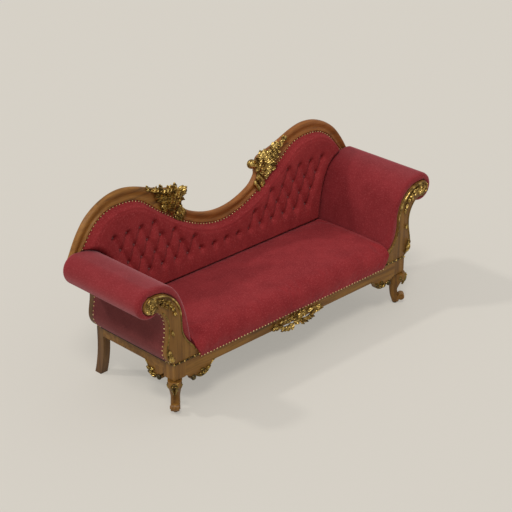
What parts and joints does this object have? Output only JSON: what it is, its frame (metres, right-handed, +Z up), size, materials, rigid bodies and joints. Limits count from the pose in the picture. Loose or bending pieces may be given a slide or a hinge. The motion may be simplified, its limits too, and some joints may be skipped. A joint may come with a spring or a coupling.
{
  "type": "fainting couch",
  "caption": "Double-ended upholstered couch with rolled arms, a serpentine buttoned back, carved gilt crest and cabriole front legs.",
  "frame": {"origin": "on the floor under the middle of the couch's overall box", "axes": "+X to the right as seen from the front, +Y from the front to the back, +Z up"},
  "size_m": [2.16, 0.6429, 0.9793],
  "materials": {
    "walnut_show_wood": "waxed golden walnut",
    "gilt_carving": "old gilding, bright on the high spots",
    "crimson_cover": "crimson cotton velvet",
    "crimson_buttons": "covered buttons",
    "jute_webbing": "woven jute",
    "hessian": "plain hessian",
    "black_cambric": "thin black cotton",
    "spring_steel": "coppered wire",
    "screw_steel": "plain steel",
    "dark_pegs": "dark turned pegs",
    "beech_frame": "plain sawn beech"
  },
  "bodies": {
    "root": {"back_buttons": "crimson_buttons", "back_hessian": "hessian", "back_liner_rail": "beech_frame", "back_pad": "crimson_cover", "back_seat_rail": "walnut_show_wood", "back_uprights": "beech_frame", "back_webbing": "jute_webbing", "corner_block_screws": "screw_steel", "corner_blocks": "beech_frame", "crest_dowels": "beech_frame", "crest_rail_middle": "walnut_show_wood", "dust_cover": "black_cambric", "frame_dowels": "beech_frame", "front_seat_rail": "walnut_show_wood", "left_arm_facing": "walnut_show_wood", "left_arm_pad": "crimson_cover", "left_arm_roll_rail": "beech_frame", "left_arm_tacking_rail": "beech_frame", "left_arm_webbing": "jute_webbing", "left_back_stile": "walnut_show_wood", "left_crest_carving": "gilt_carving", "left_crest_rail": "walnut_show_wood", "left_facing_carving": "gilt_carving", "left_foot_peg": "dark_pegs", "left_front_bracket": "walnut_show_wood", "left_front_leg": "walnut_show_wood", "left_knee_carving": "gilt_carving", "left_outside_arm_panel": "crimson_cover", "left_post_bead": "gilt_carving", "left_rear_leg": "walnut_show_wood", "left_side_bracket": "walnut_show_wood", "left_side_rail": "walnut_show_wood", "outside_back": "crimson_cover", "rail_carving": "gilt_carving", "right_arm_facing": "walnut_show_wood", "right_arm_pad": "crimson_cover", "right_arm_roll_rail": "beech_frame", "right_arm_tacking_rail": "beech_frame", "right_arm_webbing": "jute_webbing", "right_back_stile": "walnut_show_wood", "right_crest_carving": "gilt_carving", "right_crest_rail": "walnut_show_wood", "right_facing_carving": "gilt_carving", "right_foot_peg": "dark_pegs", "right_front_bracket": "walnut_show_wood", "right_front_leg": "walnut_show_wood", "right_knee_carving": "gilt_carving", "right_outside_arm_panel": "crimson_cover", "right_post_bead": "gilt_carving", "right_rear_leg": "walnut_show_wood", "right_side_bracket": "walnut_show_wood", "right_side_rail": "walnut_show_wood", "seat_hessian": "hessian", "seat_pad": "crimson_cover", "seat_springs": "spring_steel", "seat_webbing": "jute_webbing", "webbing_batten": "beech_frame"}
  },
  "joints": []
}
